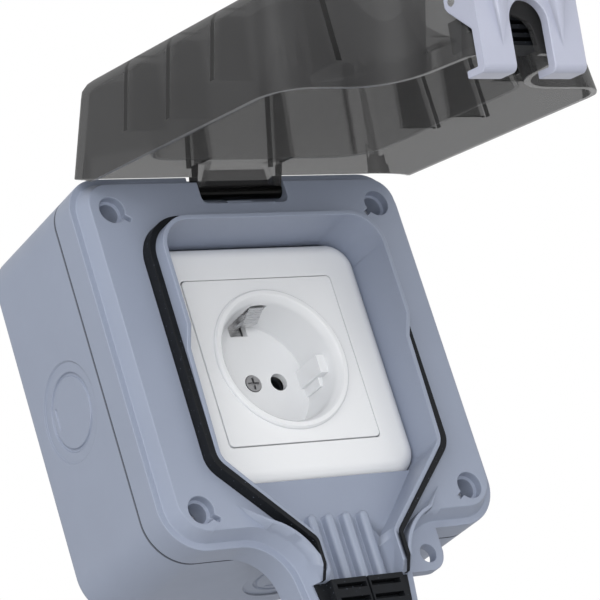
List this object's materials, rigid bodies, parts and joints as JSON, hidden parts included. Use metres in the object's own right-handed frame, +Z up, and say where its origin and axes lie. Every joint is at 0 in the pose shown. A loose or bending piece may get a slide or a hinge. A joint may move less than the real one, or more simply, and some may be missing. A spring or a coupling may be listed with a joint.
{
  "type": "outdoor weatherproof socket",
  "caption": "Surface-mounted weatherproof socket: grey wall box, hinged smoke-grey lid with latch, sealed cable spout and white two-pin earthed outlet.",
  "frame": {"origin": "centre of the back face that lies on the wall", "axes": "+Y into the wall, +Z up, +X to the right seen from the front"},
  "size_m": [0.1216, 0.2108, 0.177],
  "materials": {
    "housing_grey": "fine satin moulded grey",
    "lid_smoke": "smoke-grey see-through, frosted outside",
    "latch_grey": "pale lilac-grey satin",
    "seal_black": "matt black",
    "outlet_white": "smooth white",
    "steel": "bright zinc-plated",
    "brass": "plain brass",
    "block_grey": "plain moulded grey"
  },
  "bodies": {
    "housing": {"back_box": "housing_grey", "box_gasket": "seal_black", "front_housing": "housing_grey", "cover_screws": "steel", "screw_washers": "seal_black", "screw_inserts": "brass", "opening_seal": "seal_black", "cable_comb_lower": "seal_black", "hinge_pin": "steel", "socket_frame": "outlet_white", "socket_cover": "outlet_white", "socket_centre_screw": "steel", "earth_clip": "steel", "socket_base": "block_grey", "line_contact": "brass", "neutral_contact": "brass", "terminal_screws": "steel", "mounting_strap": "steel", "strap_screws": "steel"},
    "lid": {"lid": "lid_smoke", "cable_comb_upper": "seal_black", "latch_pins": "steel"},
    "latch": {"latch": "latch_grey"}
  },
  "joints": [
    {"name": "lid_hinge", "type": "hinge", "parent": "housing", "child": "lid", "pos_m": [0, -0.0554, 0.0545], "axis": [-1, 0, 0], "range_deg": [-76, 4]},
    {"name": "latch_pivot", "type": "hinge", "parent": "lid", "child": "latch", "pos_m": [0, -0.19727, 0.03778], "axis": [-1, 0, 0], "range_deg": [0, 50]}
  ]
}
